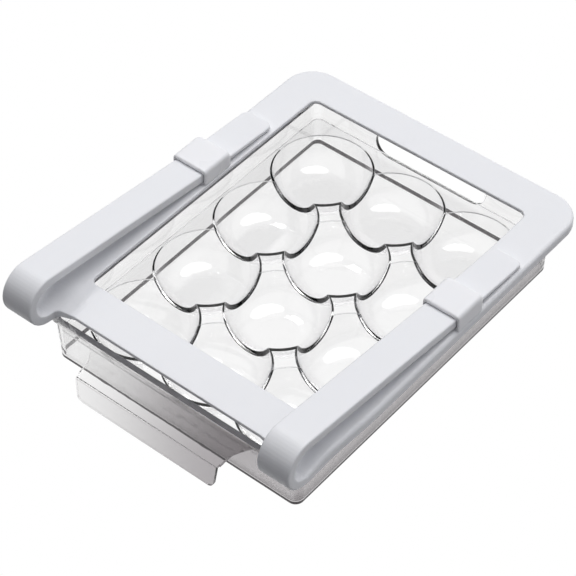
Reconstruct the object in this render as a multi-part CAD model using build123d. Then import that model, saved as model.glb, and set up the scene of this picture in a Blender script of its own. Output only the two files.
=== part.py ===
"""Fridge drawer organizer: a clip-on frame, a clear drawer hung under it, an egg tray and two strap keepers.

Millimetres, +X right, +Y to the back, +Z up; the handle is at -Y and the drawer's underside is z = 0.
"""
import os
from math import radians, tan
from build123d import *

os.makedirs("parts", exist_ok=True)

# whole part
WIDTH = 188.2
LENGTH = 245.0
SLIDE_GAP = 0.3

# frame plate, window and side skirts
FRAME_ABOVE_RIM = 14.9
PLATE_T = 2.4
SKIRT_T = 2.2
SKIRT_DEPTH = 6.3
BACK_CORNER_R = 18.0
RAIL_W = 22.74
BACK_BAR_W = 22.7
FRONT_BAR_W = 23.8
WINDOW_R = 4.5
RAIL_EDGE_R = 2.2
WINDOW_EDGE_R = 0.8

# strap that folds back over each side rail
STRAP_W = 19.2
STRAP_T = 5.4
STRAP_SLOPE = -0.112
STRAP_EDGE_R = 0.9
BEND_OUT_R = 14.6
BEND_RISE = 6.2
BEND_FORWARD = 3.3
TAIL_LENGTH = 36.0
TAIL_SLOPE = -0.0606
TAIL_T = 2.6
TAIL_END_T = 2.4
TAIL_CORNER_R = 4.0

# keeper sleeve round each strap
KEEPER_FROM_BEND = 116.0
KEEPER_LENGTH = 22.3
KEEPER_ROOF_T = 2.5
KEEPER_BASE_T = 0.95
KEEPER_BACK_R = 4.4
KEEPER_TOP_R = 2.5
KEEPER_LEG_DROP = 0.6

# hanging channel under the side rails
HANGER_T = 2.0
FOOT_T = 1.6
FOOT_REACH = 2.5
STOP_T = 2.0
STOP_W = 30.0

# drawer
DRAWER_SIDE_INSET = 14.2
DRAWER_FRONT_INSET = 4.2
DRAWER_BACK_INSET = 9.75
DRAWER_H = 30.4
DRAFT_DEG = 2.45
WALL_T = 2.0
FLOOR_T = 2.0
DRAWER_CORNER_R = 5.0
DRAWER_BOTTOM_R = 2.0
FLANGE_T = 1.5
FLANGE_W = 3.0
LIP_OUT = 1.3
BACK_WALL_GAP = 3.1
SLOT_LENGTH = 73.9
SLOT_HEIGHT = 18.0
SLOT_BELOW_RIM = 3.8

# handle sheet on the drawer front
HANDLE_T = 1.8
HANDLE_ROOT_W = 105.0
HANDLE_NECK_W = 94.6
HANDLE_FRONT_W = 92.0
HANDLE_BOTTOM_W = 89.6
HANDLE_REACH = 19.8
HANDLE_DROP = 6.1
HANDLE_LIP_H = 14.4
HANDLE_LEAN = 1.4
HANDLE_EDGE_R = 1.4
HANDLE_CORNER_R = 3.6

# egg tray
CUP_PITCH = 48.4
CUP_OVERLAP = 6.8
CUP_BOTTOM_W = 19.0
CUP_WAIST = 0.824
CUP_WAIST_LEVEL = 0.4
TRAY_T = 1.2
TRAY_H = 19.0
TRAY_EDGE_GAP = 0.7

# places that follow from the sizes above
FRAME_TOP = DRAWER_H + FRAME_ABOVE_RIM
PLATE_BOTTOM = FRAME_TOP - PLATE_T
SKIRT_BOTTOM = FRAME_TOP - SKIRT_DEPTH
HALF_WIDTH = WIDTH / 2
BACK_Y = LENGTH / 2
FRONT_Y = -LENGTH / 2
BEND_Y = FRONT_Y + BEND_OUT_R
BEND_Z = FRAME_TOP + BEND_RISE
BEND_IN_R = BEND_OUT_R - STRAP_T
BAR_FRONT_Y = BEND_Y + BEND_FORWARD
WINDOW_FRONT_Y = BAR_FRONT_Y + FRONT_BAR_W
WINDOW_BACK_Y = BACK_Y - BACK_BAR_W
WINDOW_HALF = HALF_WIDTH - RAIL_W
STRAP_X = HALF_WIDTH - RAIL_W / 2
STRAP_IN_X = STRAP_X - STRAP_W / 2
STRAP_OUT_X = STRAP_X + STRAP_W / 2
KEEPER_FRONT_Y = BEND_Y + KEEPER_FROM_BEND
TAIL_START_Y = KEEPER_FRONT_Y + KEEPER_LENGTH
TAIL_END_Y = TAIL_START_Y + TAIL_LENGTH
TAN_DRAFT = tan(radians(DRAFT_DEG))
RIM_GROW = DRAWER_H * TAN_DRAFT
DRAWER_HALF_W = HALF_WIDTH - DRAWER_SIDE_INSET
DRAWER_FRONT_Y = BAR_FRONT_Y + DRAWER_FRONT_INSET
DRAWER_BACK_Y = BACK_Y - DRAWER_BACK_INSET
DRAWER_MID_Y = (DRAWER_FRONT_Y + DRAWER_BACK_Y) / 2
DRAWER_LENGTH = DRAWER_BACK_Y - DRAWER_FRONT_Y
BACK_WALL_TOP = PLATE_BOTTOM - BACK_WALL_GAP
FLANGE_HALF = DRAWER_HALF_W + RIM_GROW + FLANGE_W
HANGER_X = FLANGE_HALF + SLIDE_GAP
FOOT_X = HANGER_X - FOOT_REACH
FOOT_TOP = DRAWER_H - FLANGE_T - SLIDE_GAP
FOOT_BOTTOM = FOOT_TOP - FOOT_T
TRAY_TOP = FLOOR_T + TRAY_H
CUP_R = (CUP_PITCH + CUP_OVERLAP) / 2


def side_sketch(points):
    """Closed polygon given in the side view as (y, z)."""
    return make_face(Polyline(*[(0, y, z) for y, z in points], close=True))


def along_x(face, x_from, x_to):
    """A side-view face pushed out between two x positions."""
    return extrude(face.moved(Location((x_from, 0, 0))), x_to - x_from, dir=(1, 0, 0))


def both_sides(shape):
    """The shape and its mirror image across the middle plane."""
    return shape + shape.mirror(Plane.YZ)


# plan outline of the frame
ease_y = WINDOW_FRONT_Y + 26


def frame_plan(inset):
    """Outer plan of the frame, its front ends narrowing to the strap width."""
    half = HALF_WIDTH - inset
    tip = STRAP_OUT_X - inset
    back = BACK_Y - inset
    radius = BACK_CORNER_R - inset
    right = Line((tip, BEND_Y), (tip, BAR_FRONT_Y))
    ease = Spline((tip, BAR_FRONT_Y), (half, ease_y), tangents=((0, 1), (0, 1)))
    side = Line((half, ease_y), (half, back - radius))
    corner = RadiusArc((half, back - radius), (half - radius, back), -radius)
    half_back = Line((half - radius, back), (0, back))
    edges = [right, ease, side, corner, half_back]
    edges += [e.mirror(Plane.YZ) for e in edges]
    edges += [Line((-tip, BEND_Y), (tip, BEND_Y))]
    return make_face(edges)


notch_r = BAR_FRONT_Y - BEND_Y
front_notch = Pos(0, BEND_Y - 10 + notch_r / 2) * Rectangle(2 * STRAP_IN_X, 20 + notch_r)
front_notch = fillet(front_notch.vertices().group_by(Axis.Y)[-1], notch_r - 0.01)
window = Pos(0, (WINDOW_BACK_Y + WINDOW_FRONT_Y) / 2) * RectangleRounded(
    2 * WINDOW_HALF, WINDOW_BACK_Y - WINDOW_FRONT_Y, WINDOW_R)

# flat plate behind the front corners
plan = frame_plan(0) - window
corner_y = WINDOW_FRONT_Y + 1
corner_x = STRAP_IN_X - 13
corner_zone = Pos(0, (BEND_Y + corner_y) / 2) * Rectangle(WIDTH + 20, corner_y - BEND_Y)
middle_zone = Pos(0, (BEND_Y + corner_y) / 2) * Rectangle(2 * corner_x, corner_y - BEND_Y)
flat_plan = (plan - front_notch) - (corner_zone - middle_zone)
plate = Pos(0, 0, PLATE_BOTTOM) * extrude(flat_plan, PLATE_T)

# front corners dip and thicken towards the bend
dip_top = [(corner_y, FRAME_TOP), (corner_y - 8, FRAME_TOP), (BEND_Y, BEND_Z - BEND_IN_R)]
dip_low = [(corner_y, PLATE_BOTTOM), (corner_y - 12, PLATE_BOTTOM), (BEND_Y, BEND_Z - BEND_OUT_R)]


def dip_wire(points, x):
    """Flat line that eases down to the level of the bend."""
    flat = Line((x, *points[0]), (x, *points[1]))
    ease = Spline((x, *points[1]), (x, *points[2]), tangents=((0, -1, 0), (0, -1, 0)))
    return [flat, ease]


def dip_face(x, top, low):
    """Side-view face of the front corner between its top and lower lines."""
    edges = dip_wire(top, x) + dip_wire(low, x)
    edges += [Line((x, *top[0]), (x, *low[0])), Line((x, *top[2]), (x, *low[2]))]
    return make_face(edges)


level_top = [(y, FRAME_TOP) for y, z in dip_top]
level_low = [(y, PLATE_BOTTOM) for y, z in dip_low]
arm_face = dip_face(STRAP_IN_X, dip_top, dip_low)
level_face = dip_face(corner_x, level_top, level_low)
ramp = loft([level_face, arm_face], ruled=True)
arm_block = along_x(dip_face(0, dip_top, dip_low), STRAP_IN_X, HALF_WIDTH)
corner_plan = (plan - front_notch) & corner_zone
corner_mask = Pos(0, 0, FRAME_TOP - 15) * extrude(corner_plan, 20)
corners = both_sides((ramp + arm_block) & corner_mask)

# skirt round the two sides and the back
skirt_plan = frame_plan(0) - frame_plan(SKIRT_T)
skirt_plan = skirt_plan - Pos(0, BEND_Y) * Rectangle(2 * STRAP_IN_X + 10, 20)
skirt = Pos(0, 0, BEND_Z - BEND_OUT_R) * extrude(skirt_plan, FRAME_TOP - 1 - BEND_Z + BEND_OUT_R)
skirt_turn_y = corner_y - 4
skirt_join_z = PLATE_BOTTOM + PLATE_T / 5
skirt_join_y = corner_y - 12
bend_low_z = BEND_Z - BEND_OUT_R
bend_mid_z = bend_low_z + STRAP_T / 2
skirt_side = make_face([
    Spline((0, BEND_Y, bend_low_z), (0, skirt_turn_y, SKIRT_BOTTOM), tangents=((0, 1, 0), (0, 1, 0))),
    Line((0, skirt_turn_y, SKIRT_BOTTOM), (0, LENGTH, SKIRT_BOTTOM)),
    Line((0, LENGTH, SKIRT_BOTTOM), (0, LENGTH, skirt_join_z)),
    Line((0, LENGTH, skirt_join_z), (0, skirt_join_y, skirt_join_z)),
    Line((0, skirt_join_y, skirt_join_z), (0, BEND_Y, bend_mid_z)),
    Line((0, BEND_Y, bend_mid_z), (0, BEND_Y, bend_low_z))])
skirt = skirt & along_x(skirt_side, -WIDTH, WIDTH)

shell = plate + corners + skirt


def outer_top_edges(shape):
    """Long top edges of the sides, corners and back."""
    picked = []
    for edge in shape.edges():
        middle = edge @ 0.5
        at_top = abs(middle.Z - FRAME_TOP) < 0.02 and edge.bounding_box().size.Z < 0.05
        outside = abs(middle.X) > WINDOW_HALF + 5 or middle.Y > WINDOW_BACK_Y + 5
        if at_top and outside and middle.Y > corner_y:
            picked.append(edge)
    return picked


def window_top_edges(shape):
    """Top edges round the window."""
    picked = []
    for edge in shape.edges():
        middle = edge @ 0.5
        at_top = abs(middle.Z - FRAME_TOP) < 0.02 and edge.bounding_box().size.Z < 0.05
        inside = abs(middle.X) < WINDOW_HALF + 0.1 and middle.Y < WINDOW_BACK_Y + 0.1
        if at_top and inside and middle.Y > WINDOW_FRONT_Y - 0.1:
            picked.append(edge)
    return picked


# strap, bend and tail in the side view
run = (1 + STRAP_SLOPE ** 2) ** 0.5
tilt = Vector(0, -STRAP_SLOPE / run, 1 / run)
bend_centre = Vector(0, BEND_Y, BEND_Z)
bend_out_end = bend_centre + tilt * BEND_OUT_R
bend_in_end = bend_centre + tilt * BEND_IN_R
front_dir = Vector(0, -1, 0.3).normalized()


def strap_top(y):
    """Height of the strap's top face at y."""
    if y <= TAIL_START_Y:
        return bend_out_end.Z + STRAP_SLOPE * (y - bend_out_end.Y)
    return strap_top(TAIL_START_Y) + TAIL_SLOPE * (y - TAIL_START_Y)


def strap_low(y):
    """Height of the thick strap's lower face at y."""
    return bend_in_end.Z + STRAP_SLOPE * (y - bend_in_end.Y)


thin_y = KEEPER_FRONT_Y + 1
strap_points = [
    (thin_y, strap_low(thin_y)),
    (TAIL_START_Y, strap_top(TAIL_START_Y) - TAIL_T),
    (TAIL_END_Y, strap_top(TAIL_END_Y) - TAIL_END_T),
    (TAIL_END_Y, strap_top(TAIL_END_Y)),
    (TAIL_START_Y, strap_top(TAIL_START_Y)),
    (bend_out_end.Y, bend_out_end.Z)]
strap_edges = [
    ThreePointArc((0, BEND_Y, BEND_Z - BEND_IN_R), bend_centre + front_dir * BEND_IN_R, bend_in_end),
    ThreePointArc((0, BEND_Y, BEND_Z - BEND_OUT_R), bend_centre + front_dir * BEND_OUT_R, bend_out_end),
    Line((0, BEND_Y, BEND_Z - BEND_IN_R), (0, BEND_Y, BEND_Z - BEND_OUT_R)),
    Line(bend_in_end, (0, *strap_points[0]))]
for first, second in zip(strap_points[:-1], strap_points[1:]):
    strap_edges.append(Line((0, *first), (0, *second)))
strap = along_x(make_face(strap_edges), STRAP_IN_X, STRAP_OUT_X)
tail_mask = Pos(STRAP_X, (TAIL_END_Y + BEND_Y) / 2) * Rectangle(STRAP_W, TAIL_END_Y - BEND_Y + 60)
tail_mask = Pos(0, -30) * tail_mask
tail_mask = fillet(tail_mask.vertices().group_by(Axis.Y)[-1], TAIL_CORNER_R)
strap = strap & extrude(tail_mask, 100)
strap_long = [e for e in strap.edges()
              if (e @ 0.5).Z > strap_top((e @ 0.5).Y) - 0.3 and abs((e @ 0.5).X - STRAP_X) > 2
              and (e @ 0.5).Y > BEND_Y + 3]
strap = fillet(strap_long, STRAP_EDGE_R)

# hanging channel and back stop
hanger_front_y = DRAWER_FRONT_Y + 3.5
hanger_end_y = DRAWER_BACK_Y + BACK_WALL_TOP * TAN_DRAFT + SLIDE_GAP + STOP_T
hanger_len = hanger_end_y - hanger_front_y
hanger_mid = (hanger_end_y + hanger_front_y) / 2
web_top = PLATE_BOTTOM + PLATE_T / 5
web = Pos(HANGER_X + HANGER_T / 2, hanger_mid, (web_top + FOOT_BOTTOM) / 2) * Box(
    HANGER_T, hanger_len, web_top - FOOT_BOTTOM)
foot = Pos((FOOT_X + HANGER_X + 1) / 2, hanger_mid, (FOOT_TOP + FOOT_BOTTOM) / 2) * Box(
    HANGER_X + 1 - FOOT_X, hanger_len, FOOT_T)
hanger = both_sides(web + foot)
stop_x = HANGER_X + 1 - STOP_W / 2
stop = both_sides(Pos(stop_x, hanger_end_y - STOP_T / 2, (web_top + FOOT_BOTTOM) / 2) * Box(
    STOP_W, STOP_T, web_top - FOOT_BOTTOM))

shell = fillet(outer_top_edges(shell), RAIL_EDGE_R)
shell = fillet(window_top_edges(shell), WINDOW_EDGE_R)
support_frame = shell + both_sides(strap) + hanger + stop

# keeper sleeve
keeper_back_y = KEEPER_FRONT_Y + KEEPER_LENGTH
base_low = FRAME_TOP + SLIDE_GAP - 0.05
base_top = base_low + KEEPER_BASE_T
keeper_top_z = strap_top(KEEPER_FRONT_Y) + SLIDE_GAP + KEEPER_ROOF_T
keeper_mid_y = (KEEPER_FRONT_Y + keeper_back_y) / 2
leg_low = FRAME_TOP - KEEPER_LEG_DROP
keeper = Pos(STRAP_X, keeper_mid_y, (keeper_top_z + leg_low) / 2) * Box(
    RAIL_W, KEEPER_LENGTH, keeper_top_z - leg_low)
keeper = fillet(keeper.edges().filter_by(Axis.X).group_by(Axis.Z)[-1].sort_by(Axis.Y)[-1], KEEPER_BACK_R)
keeper_sides = [e for e in keeper.edges()
                if (e @ 0.5).Z > keeper_top_z - KEEPER_BACK_R and e.bounding_box().size.Y > 2
                and abs((e @ 0.5).X - STRAP_X) > RAIL_W / 2 - 0.1]
keeper = fillet(keeper_sides, KEEPER_TOP_R)
ceiling = strap_top(KEEPER_FRONT_Y - 1) + SLIDE_GAP
ceiling_back = strap_top(keeper_back_y + 1) + SLIDE_GAP
tunnel = along_x(side_sketch([
    (KEEPER_FRONT_Y - 1, base_top), (keeper_back_y + 1, base_top),
    (keeper_back_y + 1, ceiling_back), (KEEPER_FRONT_Y - 1, ceiling)]),
    STRAP_IN_X - SLIDE_GAP, STRAP_OUT_X + SLIDE_GAP)
rail_room = Pos(HALF_WIDTH - 30, keeper_mid_y, base_low - 10) * Box(60, KEEPER_LENGTH + 2, 20)
room_r = RAIL_EDGE_R + SLIDE_GAP
rail_room = Pos(SLIDE_GAP, 0, 0) * rail_room
rail_room = fillet(rail_room.edges().filter_by(Axis.Y).group_by(Axis.Z)[-1].sort_by(Axis.X)[-1], room_r)
keeper = keeper - tunnel - rail_room
right_keeper = keeper
left_keeper = keeper.mirror(Plane.YZ)

# drawer shell with drafted walls
def drawer_plan(grow, radius):
    """Rounded rectangle of the drawer's underside, grown by a margin."""
    return Pos(0, DRAWER_MID_Y) * RectangleRounded(
        2 * (DRAWER_HALF_W + grow), DRAWER_LENGTH + 2 * grow, radius)


outside = extrude(drawer_plan(0, DRAWER_CORNER_R), BACK_WALL_TOP, taper=-DRAFT_DEG)
inside_plan = drawer_plan(FLOOR_T * TAN_DRAFT - WALL_T, DRAWER_CORNER_R - WALL_T / 2)
inside = Pos(0, 0, FLOOR_T) * extrude(inside_plan, BACK_WALL_TOP, taper=-DRAFT_DEG)
outside = fillet(outside.edges().group_by(Axis.Z)[0], DRAWER_BOTTOM_R)
tub = outside - inside
cut_end_y = WINDOW_BACK_Y - 2
above_rim = Pos(0, cut_end_y - LENGTH / 2, DRAWER_H + LENGTH / 2) * Box(2 * WIDTH, LENGTH, LENGTH)
tub = tub - above_rim
rim_plan = drawer_plan(RIM_GROW + LIP_OUT, DRAWER_CORNER_R + 1)
side_flange = Pos(0, DRAWER_MID_Y) * RectangleRounded(2 * FLANGE_HALF, DRAWER_LENGTH - 12, 2.0)
rim_ring = (rim_plan + side_flange) - drawer_plan(RIM_GROW - WALL_T * 0.8, DRAWER_CORNER_R - WALL_T / 2)
rim_zone = Pos(0, cut_end_y + 8 - LENGTH / 2) * Rectangle(2 * WIDTH, LENGTH)
rim = Pos(0, 0, DRAWER_H - FLANGE_T) * extrude(rim_ring & rim_zone, FLANGE_T)
slot = Pos(0, DRAWER_BACK_Y, DRAWER_H - SLOT_BELOW_RIM) * extrude(
    Plane.XZ * SlotOverall(SLOT_LENGTH, SLOT_HEIGHT), 12, both=True)
drawer = tub + rim - slot

# handle sheet: ledge, bend and lip in the side view
root_y = DRAWER_FRONT_Y - RIM_GROW + WALL_T / 3
front_y = DRAWER_FRONT_Y - RIM_GROW - HANDLE_REACH + 0.55
ledge_z = DRAWER_H - HANDLE_DROP
lip_y = front_y - HANDLE_LEAN
lip_z = ledge_z - HANDLE_LIP_H
slope_y = root_y - HANDLE_REACH * 0.22
slope_z = DRAWER_H - HANDLE_DROP * 0.46
neck_y = root_y - HANDLE_REACH * 0.52
neck_z = DRAWER_H - HANDLE_DROP * 0.67
under_z = ledge_z - HANDLE_T + 0.4
ledge_top = Spline((0, root_y, DRAWER_H), (0, slope_y, slope_z), (0, neck_y, neck_z), (0, front_y, ledge_z),
                   tangents=((0, -1, -0.55), (0, -1, -0.25)))
ledge_low = Spline((0, root_y, DRAWER_H - HANDLE_T - 0.4), (0, slope_y, slope_z - HANDLE_T),
                   (0, neck_y, neck_z - HANDLE_T), (0, front_y + HANDLE_T, under_z),
                   tangents=((0, -1, -0.45), (0, -1, -0.25)))
sheet_ends = [
    Line((0, front_y, ledge_z), (0, lip_y, lip_z)),
    Line((0, lip_y, lip_z), (0, lip_y + HANDLE_T, lip_z)),
    Line((0, lip_y + HANDLE_T, lip_z), (0, front_y + HANDLE_T, under_z)),
    Line((0, root_y, DRAWER_H - HANDLE_T - 0.4), (0, root_y, DRAWER_H))]
sheet = along_x(make_face([ledge_top, ledge_low] + sheet_ends), -HANDLE_ROOT_W, HANDLE_ROOT_W)
front_edge = [e for e in sheet.edges().filter_by(Axis.X)
              if abs((e @ 0.5).Y - front_y) < 0.1 and abs((e @ 0.5).Z - ledge_z) < 0.1]
sheet = fillet(front_edge, HANDLE_EDGE_R)
root_half = HANDLE_ROOT_W / 2 + 4
neck_half = HANDLE_NECK_W / 2
tip_half = HANDLE_FRONT_W / 2
tip_y = front_y - 4
half_edges = [
    Line((0, root_y, 0), (root_half, root_y, 0)),
    Spline((root_half, root_y, 0), (neck_half + 1.6, root_y - 6.5, 0), (neck_half, neck_y, 0),
           tangents=((-1, -0.4, 0), (-0.12, -1, 0))),
    Line((neck_half, neck_y, 0), (tip_half, tip_y, 0)),
    Line((tip_half, tip_y, 0), (0, tip_y, 0))]
half_edges += [e.mirror(Plane.YZ) for e in half_edges]
sheet = sheet & extrude(make_face(half_edges), 2 * DRAWER_H)
bottom_half = HANDLE_BOTTOM_W / 2
tall_z = 2 * DRAWER_H
lip_outline = make_face(Polyline(
    (-tip_half, 0, ledge_z - 2.5), (-bottom_half, 0, lip_z), (bottom_half, 0, lip_z),
    (tip_half, 0, ledge_z - 2.5), (tip_half + 1, 0, tall_z), (-tip_half - 1, 0, tall_z), close=True))
lip_outline = fillet(lip_outline.vertices().group_by(Axis.Z)[0], HANDLE_CORNER_R)
lip_keep = extrude(lip_outline.moved(Location((0, front_y + HANDLE_T + 1, 0))), 10, dir=(0, -1, 0))
lip_zone = Pos(0, front_y + HANDLE_T - 4, DRAWER_H) * Box(1.5 * HANDLE_ROOT_W, 10, 2.5 * DRAWER_H)
sheet = sheet - (lip_zone - lip_keep)
drawer = drawer + sheet

# egg tray: bowls standing on the drawer floor, their mouths cutting into each other at low saddles
tray_grow = TRAY_TOP * TAN_DRAFT - WALL_T - TRAY_EDGE_GAP
egg_tray = Pos(0, 0, TRAY_TOP - TRAY_T) * extrude(drawer_plan(tray_grow, DRAWER_CORNER_R - 0.5), TRAY_T)


def bowl_side(radius, top, bottom_half, bottom):
    """Half section of one bowl, from its mouth down to its flat bottom."""
    waist = bottom + (top - bottom) * CUP_WAIST_LEVEL
    curve = Spline((radius, 0, top), (radius * CUP_WAIST, 0, waist), (bottom_half, 0, bottom),
                   tangents=((-0.04, 0, -1), (-1, 0, -0.45)))
    return [curve, Line((bottom_half, 0, bottom), (0, 0, bottom))]


bowl_out = make_face(bowl_side(CUP_R + TRAY_T, TRAY_TOP, CUP_BOTTOM_W / 2 + TRAY_T, FLOOR_T) + [
    Line((0, 0, FLOOR_T), (0, 0, TRAY_TOP)),
    Line((0, 0, TRAY_TOP), (CUP_R + TRAY_T, 0, TRAY_TOP))])
bowl_in = make_face(bowl_side(CUP_R, TRAY_TOP, CUP_BOTTOM_W / 2, FLOOR_T + TRAY_T) + [
    Line((0, 0, FLOOR_T + TRAY_T), (0, 0, TRAY_TOP + 1)),
    Line((0, 0, TRAY_TOP + 1), (CUP_R, 0, TRAY_TOP + 1)),
    Line((CUP_R, 0, TRAY_TOP + 1), (CUP_R, 0, TRAY_TOP))])
bowl_solid = revolve(bowl_out, Axis.Z)
bowl_room = revolve(bowl_in, Axis.Z)
cup_columns = int(2 * (DRAWER_HALF_W + tray_grow) / CUP_PITCH)
cup_rows = int((DRAWER_LENGTH + 2 * tray_grow) / CUP_PITCH)
first_x = -CUP_PITCH * (cup_columns - 1) / 2
first_y = DRAWER_MID_Y - CUP_PITCH * (cup_rows - 1) / 2
cup_places = [Pos(first_x + CUP_PITCH * col, first_y + CUP_PITCH * row)
              for row in range(cup_rows) for col in range(cup_columns)]
egg_tray = egg_tray + [place * bowl_solid for place in cup_places]
egg_tray = egg_tray - [place * bowl_room for place in cup_places]

parts = {
    "support_frame": support_frame,
    "left_keeper": left_keeper,
    "right_keeper": right_keeper,
    "drawer": drawer,
    "egg_tray": egg_tray,
}
for name, shape in parts.items():
    solids = shape.solids()
    box = shape.bounding_box()
    print(name, len(solids), "valid" if shape.is_valid else "INVALID", round(shape.volume / 1000, 2), "cm3",
          [round(v, 2) for v in (*box.min, *box.max)])
    export_step(solids[0] if len(solids) == 1 else shape, f"parts/{name}.step")
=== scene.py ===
"""Looks of the fridge drawer organizer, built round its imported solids.

Metres, +X right, +Y to the back, +Z up; the floor the drawer stands on is z = 0.
"""

from math import cos, pi, radians, sin

import bmesh
import bpy
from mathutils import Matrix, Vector, geometry


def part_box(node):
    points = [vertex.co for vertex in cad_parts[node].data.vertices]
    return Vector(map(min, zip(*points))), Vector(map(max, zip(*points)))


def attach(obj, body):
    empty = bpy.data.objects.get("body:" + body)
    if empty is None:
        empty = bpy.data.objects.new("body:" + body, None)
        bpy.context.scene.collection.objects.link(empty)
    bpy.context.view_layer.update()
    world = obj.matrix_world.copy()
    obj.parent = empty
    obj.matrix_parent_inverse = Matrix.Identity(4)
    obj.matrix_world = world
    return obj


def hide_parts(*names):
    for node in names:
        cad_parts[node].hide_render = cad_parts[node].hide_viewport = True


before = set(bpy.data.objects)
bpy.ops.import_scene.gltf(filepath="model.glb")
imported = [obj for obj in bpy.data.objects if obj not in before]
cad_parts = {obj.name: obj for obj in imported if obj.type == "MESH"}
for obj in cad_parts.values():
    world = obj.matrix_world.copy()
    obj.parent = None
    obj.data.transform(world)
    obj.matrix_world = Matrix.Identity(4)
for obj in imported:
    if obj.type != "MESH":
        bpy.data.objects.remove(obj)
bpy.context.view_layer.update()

# Camera and floor
# The organizer is seen from its front right corner and well above, through a long lens.
# It stands on a wide white sweep that fills the picture.
CAMERA_PLACE = (0.4968, -0.6152, 0.8429)
CAMERA_TURN = (radians(43.93), 0, radians(39.38))
CAMERA_LENS = 137.0
CAMERA_SENSOR = 36.0
CAMERA_REACH = 100.0
FLOOR_SIZE = 60.0
FLOOR_GREY = (0.20, 0.20, 0.21, 1)
PLAIN_WHITE = (1, 1, 1, 1)


def feed(tree, socket, value):
    """Set one input to a fixed value, or link another node's output to it."""
    if isinstance(value, bpy.types.NodeSocket):
        tree.links.new(value, socket)
    else:
        socket.default_value = value


def feed_named(tree, node, **values):
    """Feed a node's inputs by name, with an underscore for each space."""
    for name, value in values.items():
        feed(tree, node.inputs[name.replace("_", " ")], value)


def node_at(tree, kind, x, y, **values):
    """A shader node of one kind, with its named inputs fed."""
    node = tree.nodes.new(kind)
    node.location = (x, y)
    feed_named(tree, node, **values)
    return node


def value_at(tree, operation, x, y, *values):
    """The result of one math step on fixed values or other nodes' outputs."""
    node = node_at(tree, "ShaderNodeMath", x, y)
    node.operation = operation
    for socket, value in zip(node.inputs, values):
        feed(tree, socket, value)
    return node.outputs[0]


def shader_mix(tree, x, y, amount, first, second):
    """One shader where the amount is 0, and the other where it is 1."""
    mix = node_at(tree, "ShaderNodeMixShader", x, y, Fac=amount)
    feed(tree, mix.inputs[1], first)
    feed(tree, mix.inputs[2], second)
    return mix.outputs[0]


def mesh_from(bm, name):
    """The mesh of a finished bmesh, which is then freed."""
    mesh = bpy.data.meshes.new(name)
    bm.to_mesh(mesh)
    bm.free()
    return mesh


def in_scene(name, data):
    """A new object in the scene, at the origin, that shows the given data."""
    thing = bpy.data.objects.new(name, data)
    bpy.context.scene.collection.objects.link(thing)
    return thing


camera_data = bpy.data.cameras.new("camera")
camera_data.lens = CAMERA_LENS
camera_data.sensor_width = CAMERA_SENSOR
camera_data.clip_end = CAMERA_REACH
camera = in_scene("camera", camera_data)
camera.location = CAMERA_PLACE
camera.rotation_euler = CAMERA_TURN
bpy.context.scene.camera = camera
bpy.context.scene.view_settings.view_transform = "Standard"

floor_bm = bmesh.new()
bmesh.ops.create_grid(floor_bm, x_segments=1, y_segments=1, size=FLOOR_SIZE / 2)
floor = in_scene("floor", mesh_from(floor_bm, "floor"))
floor_material = bpy.data.materials.new("floor_white")
floor_material.use_nodes = True
floor_tree = floor_material.node_tree
floor_tree.nodes.clear()
floor_grey = node_at(floor_tree, "ShaderNodeBsdfDiffuse", -400, 0, Color=FLOOR_GREY)
floor_glow = node_at(floor_tree, "ShaderNodeEmission", -400, -200, Color=PLAIN_WHITE, Strength=1.0)
floor_rays = node_at(floor_tree, "ShaderNodeLightPath", -600, 200).outputs
floor_shown = value_at(floor_tree, "MAXIMUM", -400, 200,
                       floor_rays["Is Camera Ray"], floor_rays["Is Glossy Ray"])
floor_shown = value_at(floor_tree, "MAXIMUM", -200, 200,
                       floor_shown, floor_rays["Is Transmission Ray"])
floor_mix = shader_mix(floor_tree, 0, 0, floor_shown, floor_grey.outputs[0], floor_glow.outputs[0])
node_at(floor_tree, "ShaderNodeOutputMaterial", 200, 0, Surface=floor_mix)
floor.data.materials.append(floor_material)

# Studio light
# A white room, dimmer round its sides, and brighter for gloss and clear plastic, whose edges then
# stay thin grey lines. A broad soft lamp hangs high behind the organizer, and a small one at its
# left rear lights the handle's ledge.
ROOM_LEVEL = 0.50
ROOM_UP = (0.10, 0.48, 0.86)
ROOM_SIDE = (0.12, 0.12, 0.13, 1)
ROOM_TOP = (0.95, 0.96, 1.0, 1)
GLOSS_UP = (0, 0, 1)
GLOSS_SIDE = (0.60, 0.58, 0.60, 1)
GLOSS_TOP = (1.0, 1.0, 1.0, 1)
SIDE_HEIGHT = 0.05
TOP_HEIGHT = 0.62
LAMP_PLACE = (0.25, 0.35, 1.55)
LAMP_AIM = (0, 0, 0.04)
LAMP_SIZE = 1.3
LAMP_POWER = 11.4
STRIP_PLACE = (-0.72, 0.46, 1.3)
STRIP_SIZE = (0.26, 0.30)
STRIP_POWER = 4.0


def room_gradient(tree, side, top, up, y):
    """One tone round the sides that changes to another towards the given up direction."""
    place = node_at(tree, "ShaderNodeTexCoord", -1100, y)
    height = node_at(tree, "ShaderNodeVectorMath", -900, y)
    height.operation = "DOT_PRODUCT"
    feed(tree, height.inputs[0], place.outputs["Generated"])
    feed(tree, height.inputs[1], up)
    ramp = node_at(tree, "ShaderNodeValToRGB", -700, y, Fac=height.outputs["Value"])
    ramp.color_ramp.elements[0].position = SIDE_HEIGHT
    ramp.color_ramp.elements[0].color = side
    ramp.color_ramp.elements[1].position = TOP_HEIGHT
    ramp.color_ramp.elements[1].color = top
    return ramp.outputs["Color"]


def area_lamp(name, shape, sizes, power, place):
    """A flat lamp that shines straight down until it is turned."""
    data = bpy.data.lights.new(name, "AREA")
    data.shape = shape
    data.size, data.size_y = sizes
    data.energy = power
    lamp = in_scene(name, data)
    lamp.location = place
    return lamp


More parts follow.
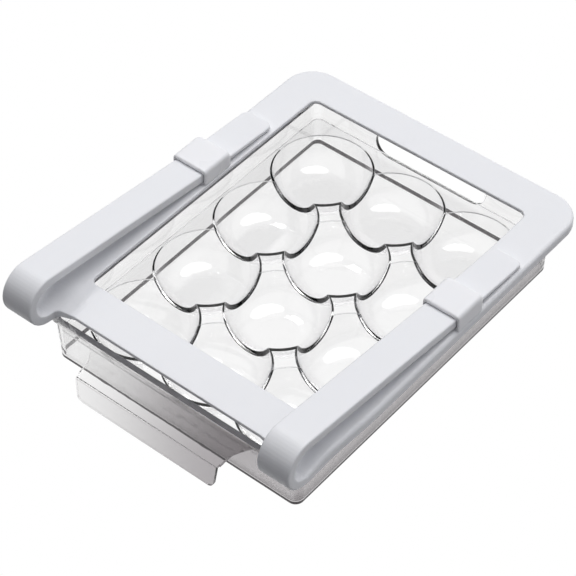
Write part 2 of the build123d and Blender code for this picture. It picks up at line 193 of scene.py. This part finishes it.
world = bpy.data.worlds.new("room")
world.use_nodes = True
bpy.context.scene.world = world
room = world.node_tree
room.nodes.clear()
room_tone = room_gradient(room, ROOM_SIDE, ROOM_TOP, ROOM_UP, -400)
gloss_tone = room_gradient(room, GLOSS_SIDE, GLOSS_TOP, GLOSS_UP, -100)
room_light = node_at(room, "ShaderNodeBackground", -400, -400, Color=room_tone, Strength=ROOM_LEVEL)
room_gloss = node_at(room, "ShaderNodeBackground", -400, -100, Color=gloss_tone, Strength=1.0)
room_seen = node_at(room, "ShaderNodeBackground", -400, 100, Color=PLAIN_WHITE, Strength=1.0)
room_rays = node_at(room, "ShaderNodeLightPath", -700, 400).outputs
room_clear = value_at(room, "MAXIMUM", -400, 300,
                      room_rays["Is Glossy Ray"], room_rays["Is Transmission Ray"])
lit_mix = shader_mix(room, -100, -200, room_clear, room_light.outputs[0], room_gloss.outputs[0])
room_mix = shader_mix(room, 100, 0, room_rays["Is Camera Ray"], lit_mix, room_seen.outputs[0])
node_at(room, "ShaderNodeOutputWorld", 300, 0, Surface=room_mix)

soft_lamp = area_lamp("soft_lamp", "DISK", (LAMP_SIZE, LAMP_SIZE), LAMP_POWER, LAMP_PLACE)
soft_lamp.rotation_euler = (Vector(LAMP_AIM) - Vector(LAMP_PLACE)).to_track_quat("-Z", "Y").to_euler()
area_lamp("strip_lamp", "RECTANGLE", STRIP_SIZE, STRIP_POWER, STRIP_PLACE)

# Support frame
# One white satin moulding: the plate with its window and skirt, the hanging channels underneath,
# and a strap that folds back over each side rail. Its edges are softly rounded, as moulded.
MERGE_GAP = 1e-6
EVEN_WEIGHT = 50
SOFTEN_STEP = 0.5
MIX_FIRST, MIX_SECOND, MIX_RESULT = 6, 7, 2
FRAME_VOXEL = 0.0004
FRAME_KEEP = 0.12
FRAME_SOFTEN = 5
FRAME_WHITE = (0.885, 0.89, 0.91, 1)
FRAME_SHADE = (0.86, 0.865, 0.89, 1)
FRAME_ROUGHNESS = 0.36
FRAME_RELIEF = 0.10
SKIN_SHARE = 0.15
SKIN_TINT = (1.0, 0.96, 0.92)
SKIN_DEPTH = 0.003
CLOUD_SCALE = 22.0
CLOUD_GLOSS = 0.12
GRAIN_SCALE = 2600.0
GRAIN_DEPTH = 0.0002


def colour_mix(tree, x, y, amount, first, second):
    """A mix of two colours by the amount, each a fixed one or another node's output."""
    mix = node_at(tree, "ShaderNodeMix", x, y)
    mix.data_type = "RGBA"
    feed(tree, mix.inputs[0], amount)
    feed(tree, mix.inputs[MIX_FIRST], first)
    feed(tree, mix.inputs[MIX_SECOND], second)
    return mix.outputs[MIX_RESULT]


def shader_group(name, inputs, outputs):
    """An empty shader group with the given sockets, and the outputs of its input node."""
    group = bpy.data.node_groups.new(name, "ShaderNodeTree")
    for in_out, sockets in (("INPUT", inputs), ("OUTPUT", outputs)):
        for socket, kind in sockets.items():
            group.interface.new_socket(name=socket, in_out=in_out, socket_type="NodeSocket" + kind)
    return group, node_at(group, "NodeGroupInput", -900, 0).outputs


def group_at(tree, group, x, y, **values):
    """The outputs of a node that runs a shader group, with its named inputs fed."""
    node = node_at(tree, "ShaderNodeGroup", x, y)
    node.node_tree = group
    feed_named(tree, node, **values)
    return node.outputs


def white_grain():
    """Shader group: the faint flow cloud, gloss change and fine texture of a white moulding."""
    group, given = shader_group(
        "white_grain",
        {"Light": "Color", "Shade": "Color", "Roughness": "Float", "Cloud Scale": "Float",
         "Grain Scale": "Float"},
        {"Color": "Color", "Roughness": "Float", "Height": "Float"})
    place = node_at(group, "ShaderNodeTexCoord", -900, -400).outputs["Object"]
    cloud = node_at(group, "ShaderNodeTexNoise", -600, 200, Vector=place, Scale=given["Cloud Scale"],
                    Detail=3.0, Roughness=0.5).outputs[0]
    grain = node_at(group, "ShaderNodeTexNoise", -600, -200, Vector=place, Scale=given["Grain Scale"],
                    Detail=2.0, Roughness=0.6).outputs[0]
    tone = colour_mix(group, -200, 200, cloud, given["Light"], given["Shade"])
    gloss = value_at(group, "MULTIPLY_ADD", -200, 0, cloud, CLOUD_GLOSS, given["Roughness"])
    node_at(group, "NodeGroupOutput", 500, 0, Color=tone, Roughness=gloss, Height=grain)
    return group


WHITE_GRAIN = white_grain()


def white_plastic(name, light, shade, roughness, relief):
    """White moulded plastic with a fine texture, a little translucent at its skin."""
    material = bpy.data.materials.new(name)
    material.use_nodes = True
    tree = material.node_tree
    grain = group_at(tree, WHITE_GRAIN, -600, 0, Light=light, Shade=shade, Roughness=roughness,
                     Cloud_Scale=CLOUD_SCALE, Grain_Scale=GRAIN_SCALE)
    bump = node_at(tree, "ShaderNodeBump", -300, -300, Strength=relief, Distance=GRAIN_DEPTH,
                   Height=grain["Height"])
    feed_named(tree, tree.nodes["Principled BSDF"], Base_Color=grain["Color"],
               Roughness=grain["Roughness"], Normal=bump.outputs["Normal"],
               Subsurface_Weight=SKIN_SHARE, Subsurface_Radius=SKIN_TINT, Subsurface_Scale=SKIN_DEPTH)
    return material


def solid_copy(node):
    """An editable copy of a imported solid, with its split corners merged."""
    bm = bmesh.new()
    bm.from_mesh(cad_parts[node].data)
    bmesh.ops.remove_doubles(bm, verts=bm.verts, dist=MERGE_GAP)
    return bm


def even_normals(piece):
    """Shade the broad faces of a piece flat and keep the change to its rounded edges."""
    even = piece.modifiers.new("even_normals", "WEIGHTED_NORMAL")
    even.weight = EVEN_WEIGHT


def soft_moulding(node, voxel, keep, soften):
    """A new piece with the solid's shape and the rounded edges of a moulding."""
    name = node + "_moulding"
    piece = in_scene(name, mesh_from(solid_copy(node), name))
    remesh = piece.modifiers.new("even_skin", "REMESH")
    remesh.mode = "VOXEL"
    remesh.voxel_size = voxel
    remesh.use_smooth_shade = True
    smooth = piece.modifiers.new("soft_edges", "SMOOTH")
    smooth.factor = SOFTEN_STEP
    smooth.iterations = soften
    fewer = piece.modifiers.new("fewer_faces", "DECIMATE")
    fewer.ratio = keep
    even_normals(piece)
    return piece


frame_piece = soft_moulding("support_frame", FRAME_VOXEL, FRAME_KEEP, FRAME_SOFTEN)
frame_piece.data.materials.append(
    white_plastic("frame_white", FRAME_WHITE, FRAME_SHADE, FRAME_ROUGHNESS, FRAME_RELIEF))
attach(frame_piece, "frame")
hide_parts("support_frame")

# Keepers
# Two glossier white sleeves, one round each strap, that slide along it and rest on the rail.
# They are separate mouldings, brighter and smoother than the frame.
KEEPER_VOXEL = 0.0004
KEEPER_KEEP = 0.5
KEEPER_SOFTEN = 36
KEEPER_WHITE = (0.94, 0.94, 0.96, 1)
KEEPER_SHADE = (0.92, 0.92, 0.945, 1)
KEEPER_ROUGHNESS = 0.22
KEEPER_RELIEF = 0.03

keeper_material = white_plastic("keeper_white", KEEPER_WHITE, KEEPER_SHADE, KEEPER_ROUGHNESS,
                                KEEPER_RELIEF)
for side in ("left", "right"):
    keeper = soft_moulding(side + "_keeper", KEEPER_VOXEL, KEEPER_KEEP, KEEPER_SOFTEN)
    keeper.data.materials.append(keeper_material)
    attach(keeper, side + "_keeper_body")
    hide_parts(side + "_keeper")

# Drawer
# A clear plastic tub with drafted walls, a rim with side flanges, a slot in its back wall and a
# bent sheet for a handle, all moulded in one shot. Painted shade: grey lines on its rounded edges,
# the handle sheet's sides and crease, a grey band on top of its rim, a dark line round its foot,
# and a darker handle towards the right and a darker right wall.
CLEAR_IOR = 1.22
CLEAR_COAT = 0.8
CLEAR_ROUGHNESS = 0.02
EDGE_SHARPNESS = 2.1
LIGHT_LET_THROUGH = 0.88
WAVE_SCALE = 70.0
WAVE_RELIEF = 0.03
WAVE_DEPTH = 0.0005
MARK_SCALE = 45.0
MARK_FROM = 0.50
MARK_TO = 0.75
MARK_ROUGHNESS = 0.05
# Where painted shade darkens the drawer: the handle towards the right, and the right wall.
SHADE_LEFT_X = -0.065
SHADE_RIGHT_X = 0.05
SHADE_FROM_Y = -0.094
SHADE_TO_Y = -0.100
SHADE_SIDE_FROM_X = 0.072
SHADE_SIDE_TO_X = 0.0775
DRAWER_FACE = (0.965, 0.965, 0.965, 1)
DRAWER_EDGE = (0.25, 0.235, 0.24, 1)
# Painted shade on the handle's right end and the right wall, not a tint of the plastic.
DRAWER_PAINTED_SHADE = (0.38, 0.36, 0.37, 1)
# Painted shade line colour for the rounded edges, the handle sheet's sides and its crease.
DRAWER_SHADE_LINE = (0.52, 0.50, 0.51, 1)
# Painted shade: a dark, mostly opaque line round the drawer's foot.
DRAWER_FOOT_SHADE = (0.07, 0.06, 0.065, 1)
# Painted shade on the top of the rim: a grey, mostly opaque band.
DRAWER_RIM_SHADE = (0.74, 0.73, 0.74, 1)
FOOT_SHADE_CLEAR = 0.2
RIM_SHADE_CLEAR = 0.25
CLEAR_LOOK, SHADE_LINE_LOOK, FOOT_SHADE_LOOK, RIM_SHADE_LOOK = range(4)
FLAT_WITHIN = radians(0.1)
CUT_SLACK = 1e-5
FOOT_LINE_Z = 0.0034
FOOT_TILT = (-0.62, 0.1)
RIM_FROM_Z = 0.0300
RIM_TILT = 0.9
HANDLE_FROM_Y = -0.0990
SHEET_SIDE_TILT = 0.8
CREASE_Y = -0.1195
CREASE_Z = 0.0230
CREASE_TILT = (0.20, 0.55)
DRAWER_ROUND = 0.0006
ROUND_STEPS = 3
ROUND_FROM = radians(32)


def clear_flow():
    """Shader group: the faint waves and the handling marks of a clear moulding."""
    group, given = shader_group(
        "clear_flow",
        {"Roughness": "Float", "Wave Scale": "Float", "Mark Scale": "Float"},
        {"Roughness": "Float", "Height": "Float"})
    place = node_at(group, "ShaderNodeTexCoord", -900, -400).outputs["Object"]
    wave = node_at(group, "ShaderNodeTexNoise", -600, -200, Vector=place, Scale=given["Wave Scale"],
                   Detail=1.0, Roughness=0.4).outputs[0]
    mark = node_at(group, "ShaderNodeTexNoise", -600, 200, Vector=place, Scale=given["Mark Scale"],
                   Detail=4.0, Roughness=0.6).outputs[0]
    spread = node_at(group, "ShaderNodeMapRange", -300, 200, Value=mark, From_Min=MARK_FROM,
                     From_Max=MARK_TO, To_Min=0.0, To_Max=MARK_ROUGHNESS).outputs[0]
    gloss = value_at(group, "ADD", 0, 100, spread, given["Roughness"])
    node_at(group, "NodeGroupOutput", 500, 0, Roughness=gloss, Height=wave)
    return group


def clear_painted_shade():
    """Shader group: where the drawer gets painted shade, its handle towards the right and its right
    wall.
    """
    group, given = shader_group(
        "clear_painted_shade",
        {"Left": "Float", "Right": "Float", "Front From": "Float", "Front To": "Float",
         "Side From": "Float", "Side To": "Float"},
        {"Amount": "Float"})
    place = node_at(group, "ShaderNodeTexCoord", -900, -400).outputs["Object"]
    split = node_at(group, "ShaderNodeSeparateXYZ", -700, -400, Vector=place).outputs
    masks = []
    for axis, start, end, y in (("X", "Left", "Right", 300), ("Y", "Front From", "Front To", 0),
                                ("X", "Side From", "Side To", -300)):
        mask = node_at(group, "ShaderNodeMapRange", -400, y, Value=split[axis],
                       From_Min=given[start], From_Max=given[end])
        mask.interpolation_type = "SMOOTHSTEP"
        masks.append(mask.outputs[0])
    across, forward, right_wall = masks
    handle = value_at(group, "MULTIPLY", -100, 100, across, forward)
    amount = value_at(group, "MAXIMUM", 200, 0, handle, right_wall)
    node_at(group, "NodeGroupOutput", 600, 0, Amount=amount)
    return group


CLEAR_FLOW = clear_flow()
CLEAR_PAINTED_SHADE = clear_painted_shade()


def clear_plastic(name, face, edge, painted_shade, coat, clear):
    """Clear plastic, darker with painted shade and where seen edge on, that lets light on to what it
    covers.
    """
    material = bpy.data.materials.new(name)
    material.use_nodes = True
    tree = material.node_tree
    rays = node_at(tree, "ShaderNodeLightPath", -900, 800).outputs
    light_ray = value_at(tree, "MAXIMUM", -700, 800, rays["Is Shadow Ray"], rays["Is Diffuse Ray"])
    opacity = value_at(tree, "MULTIPLY_ADD", -450, 800, light_ray, -LIGHT_LET_THROUGH, 1.0)
    flow = group_at(tree, CLEAR_FLOW, -900, -200, Roughness=CLEAR_ROUGHNESS, Wave_Scale=WAVE_SCALE,
                    Mark_Scale=MARK_SCALE)
    bump = node_at(tree, "ShaderNodeBump", -450, -300, Strength=WAVE_RELIEF, Distance=WAVE_DEPTH,
                   Height=flow["Height"])
    facing = node_at(tree, "ShaderNodeLayerWeight", -900, 200, Blend=0.5).outputs["Facing"]
    edge_on = value_at(tree, "POWER", -700, 200, facing, EDGE_SHARPNESS)
    # Painted shade by position: darker towards the handle's right end and on the right wall.
    painted_shade_where = group_at(tree, CLEAR_PAINTED_SHADE, -950, 500, Left=SHADE_LEFT_X, Right=SHADE_RIGHT_X,
                     Front_From=SHADE_FROM_Y, Front_To=SHADE_TO_Y,
                     Side_From=SHADE_SIDE_FROM_X, Side_To=SHADE_SIDE_TO_X)
    face_with_shade = colour_mix(tree, -700, 500, painted_shade_where["Amount"], face, painted_shade)
    tint = colour_mix(tree, -450, 200, edge_on, face_with_shade, edge)
    feed_named(tree, tree.nodes["Principled BSDF"], Base_Color=tint, Roughness=flow["Roughness"],
               IOR=CLEAR_IOR, Alpha=opacity, Normal=bump.outputs["Normal"],
               Transmission_Weight=clear, Coat_Weight=coat)
    return material


def rounded_edges(piece, width):
    """Round the sharp edges of a piece, in its second material, and even out its shading."""
    bevel = piece.modifiers.new("round_edges", "BEVEL")
    bevel.width = width
    bevel.segments = ROUND_STEPS
    bevel.limit_method = "ANGLE"
    bevel.angle_limit = ROUND_FROM
    bevel.material = 1
    even_normals(piece)


def drawer_look(face):
    """Which of the drawer's four materials one of its faces wears."""
    middle = face.calc_center_median()
    tilt = face.normal.z
    outward = face.normal.x * middle.x + face.normal.y * middle.y > 0
    low = max(v.co.z for v in face.verts) < FOOT_LINE_Z + CUT_SLACK
    # Outward faces at the foot get the dark painted shade line.
    if low and outward and FOOT_TILT[0] < tilt < FOOT_TILT[1]:
        return FOOT_SHADE_LOOK
    # Upward faces high on the rim get the painted rim shade.
    if middle.z > RIM_FROM_Z and tilt > RIM_TILT:
        return RIM_SHADE_LOOK
    # The handle sheet's sides and its crease get the painted shade line.
    sheet_side = middle.y < HANDLE_FROM_Y and abs(face.normal.x) > SHEET_SIDE_TILT
    crease = middle.y < CREASE_Y and middle.z > CREASE_Z and CREASE_TILT[0] < tilt < CREASE_TILT[1]
    return SHADE_LINE_LOOK if sheet_side or crease else CLEAR_LOOK


drawer_bm = solid_copy("drawer")
bmesh.ops.dissolve_limit(drawer_bm, angle_limit=FLAT_WITHIN, verts=drawer_bm.verts,
                         edges=drawer_bm.edges)
bmesh.ops.bisect_plane(drawer_bm, geom=drawer_bm.verts[:] + drawer_bm.edges[:] + drawer_bm.faces[:],
                       plane_co=(0, 0, FOOT_LINE_Z), plane_no=(0, 0, 1))
for face in drawer_bm.faces:
    face.smooth = True
    face.material_index = drawer_look(face)
drawer_piece = in_scene("drawer_clear", mesh_from(drawer_bm, "drawer_clear"))
# Besides the clear plastic, the other three looks are painted shade: edge lines, foot line and rim
# band.
for look in (("drawer_clear", DRAWER_FACE, DRAWER_EDGE, DRAWER_PAINTED_SHADE, CLEAR_COAT, 1),
             ("drawer_shade_line", DRAWER_SHADE_LINE, DRAWER_SHADE_LINE, DRAWER_SHADE_LINE, 0, 1),
             ("drawer_foot_shade", DRAWER_FOOT_SHADE, DRAWER_FOOT_SHADE, DRAWER_FOOT_SHADE, 0, FOOT_SHADE_CLEAR),
             ("drawer_rim_shade", DRAWER_RIM_SHADE, DRAWER_RIM_SHADE, DRAWER_RIM_SHADE, CLEAR_COAT, RIM_SHADE_CLEAR)):
    drawer_piece.data.materials.append(clear_plastic(*look))
rounded_edges(drawer_piece, DRAWER_ROUND)
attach(drawer_piece, "drawer_body")
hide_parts("drawer")

# Egg tray
# A thin clear plastic moulding that stands on the drawer's floor. Its twelve round bowls cut into
# each other at low saddles, and a flat star of web is left where four of them meet.
CUP_COLUMNS = 3
CUP_ROWS = 4
CUP_PITCH = 0.0484
CUP_MOUTH = 0.0276
CUP_FLAT = 0.0095
CUP_STEPS = 96
CUP_CURVE = 14
FOOT_PULL = 0.47
LIP_PULL_IN = 0.075
LIP_PULL_DOWN = 0.4
WEB_REACH = 1.75
TRAY_T = 0.0012
TRAY_LIFT = 0.0001
TRAY_CORNER = 0.0045
TRAY_CORNER_TURNS = (15, 30, 45, 60, 75)
TRAY_ROUND = 0.00055
WELD_GAP = 2e-6
RIM_SLACK = 1e-5
TRAY_FACE = (0.978, 0.978, 0.978, 1)
TRAY_EDGE = (0.72, 0.71, 0.73, 1)
TRAY_LIP = (0.90, 0.90, 0.90, 1)
TRAY_LIP_CLEAR = 0.35

tray_low, tray_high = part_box("egg_tray")
tray_mid = (tray_low + tray_high) / 2
web_top = tray_high.z + TRAY_LIFT
tray_floor = tray_low.z + TRAY_LIFT


def bowl_line(mouth, flat, top, bottom):
    """Half section of a bowl, from the middle of its flat bottom out along the web."""
    middle = Vector((0, 0, bottom))
    foot = Vector((flat, 0, bottom))
    lip = Vector((mouth, 0, top))
    foot_pull = foot + Vector((mouth * FOOT_PULL, 0, 0))
    lip_pull = lip - Vector((mouth * LIP_PULL_IN, 0, (top - bottom) * LIP_PULL_DOWN))
    curve = geometry.interpolate_bezier(foot, foot_pull, lip_pull, lip, CUP_CURVE)
    return [middle] + list(curve) + [Vector((mouth * WEB_REACH, 0, top))]


def cup_cell(line, x, y, walls):
    """One bowl with its share of the web, cut along the given walls (point and outward direction)."""
    cell = bmesh.new()
    verts = [cell.verts.new(point + Vector((x, y, 0))) for point in line]
    edges = [cell.edges.new(pair) for pair in zip(verts[:-1], verts[1:])]
    bmesh.ops.spin(cell, geom=verts + edges, cent=(x, y, 0), axis=(0, 0, 1), dvec=(0, 0, 0),
                   angle=2 * pi, steps=CUP_STEPS, use_merge=True)
    bmesh.ops.remove_doubles(cell, verts=cell.verts, dist=MERGE_GAP)
    for point, outward in walls:
        bmesh.ops.bisect_plane(cell, geom=cell.verts[:] + cell.edges[:] + cell.faces[:],
                               plane_co=point, plane_no=outward, clear_outer=True)
    return cell


def tray_walls(column, row, x, y):
    """The four cuts of one cell, and the rounded corner where it is a corner cell."""
    half = CUP_PITCH / 2
    left = tray_low.x if column == 0 else x - half
    right = tray_high.x if column == CUP_COLUMNS - 1 else x + half
    front = tray_low.y if row == 0 else y - half
    back = tray_high.y if row == CUP_ROWS - 1 else y + half
    walls = [((left, 0, 0), (-1, 0, 0)), ((right, 0, 0), (1, 0, 0)),
             ((0, front, 0), (0, -1, 0)), ((0, back, 0), (0, 1, 0))]
    if column in (0, CUP_COLUMNS - 1) and row in (0, CUP_ROWS - 1):
        side = -1 if column == 0 else 1
        end = -1 if row == 0 else 1
        centre = Vector((left if side < 0 else right, front if end < 0 else back, 0))
        centre -= Vector((side, end, 0)) * TRAY_CORNER
        for turn in TRAY_CORNER_TURNS:
            outward = Vector((side * cos(radians(turn)), end * sin(radians(turn)), 0))
            walls.append((centre + outward * TRAY_CORNER, outward))
    return walls


tray_bm = bmesh.new()
upper_line = bowl_line(CUP_MOUTH, CUP_FLAT, web_top, tray_floor + TRAY_T)
lower_line = bowl_line(CUP_MOUTH + TRAY_T, CUP_FLAT + TRAY_T, web_top - TRAY_T, tray_floor)
for line in (upper_line, lower_line):
    for column in range(CUP_COLUMNS):
        for row in range(CUP_ROWS):
            x = tray_mid.x + CUP_PITCH * (column - (CUP_COLUMNS - 1) / 2)
            y = tray_mid.y + CUP_PITCH * (row - (CUP_ROWS - 1) / 2)
            cell_mesh = mesh_from(cup_cell(line, x, y, tray_walls(column, row, x, y)), "cell")
            tray_bm.from_mesh(cell_mesh)
            bpy.data.meshes.remove(cell_mesh)
bmesh.ops.remove_doubles(tray_bm, verts=tray_bm.verts, dist=WELD_GAP)
tray_rim = [e for e in tray_bm.edges
            if e.is_boundary and min(v.co.z for v in e.verts) > web_top - RIM_SLACK]
skirt = bmesh.ops.extrude_edge_only(tray_bm, edges=tray_rim)
skirt_verts = [v for v in skirt["geom"] if isinstance(v, bmesh.types.BMVert)]
bmesh.ops.translate(tray_bm, verts=skirt_verts, vec=(0, 0, -TRAY_T))
bmesh.ops.remove_doubles(tray_bm, verts=tray_bm.verts, dist=WELD_GAP)
bmesh.ops.recalc_face_normals(tray_bm, faces=tray_bm.faces)
for face in tray_bm.faces:
    face.smooth = True
tray_piece = in_scene("egg_tray_clear", mesh_from(tray_bm, "egg_tray_clear"))
for look in (("tray_clear", TRAY_FACE, TRAY_EDGE, TRAY_FACE, CLEAR_COAT, 1),
             ("tray_lip", TRAY_LIP, TRAY_LIP, TRAY_LIP, CLEAR_COAT, TRAY_LIP_CLEAR)):
    tray_piece.data.materials.append(clear_plastic(*look))
rounded_edges(tray_piece, TRAY_ROUND)
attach(tray_piece, "drawer_body")
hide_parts("egg_tray")
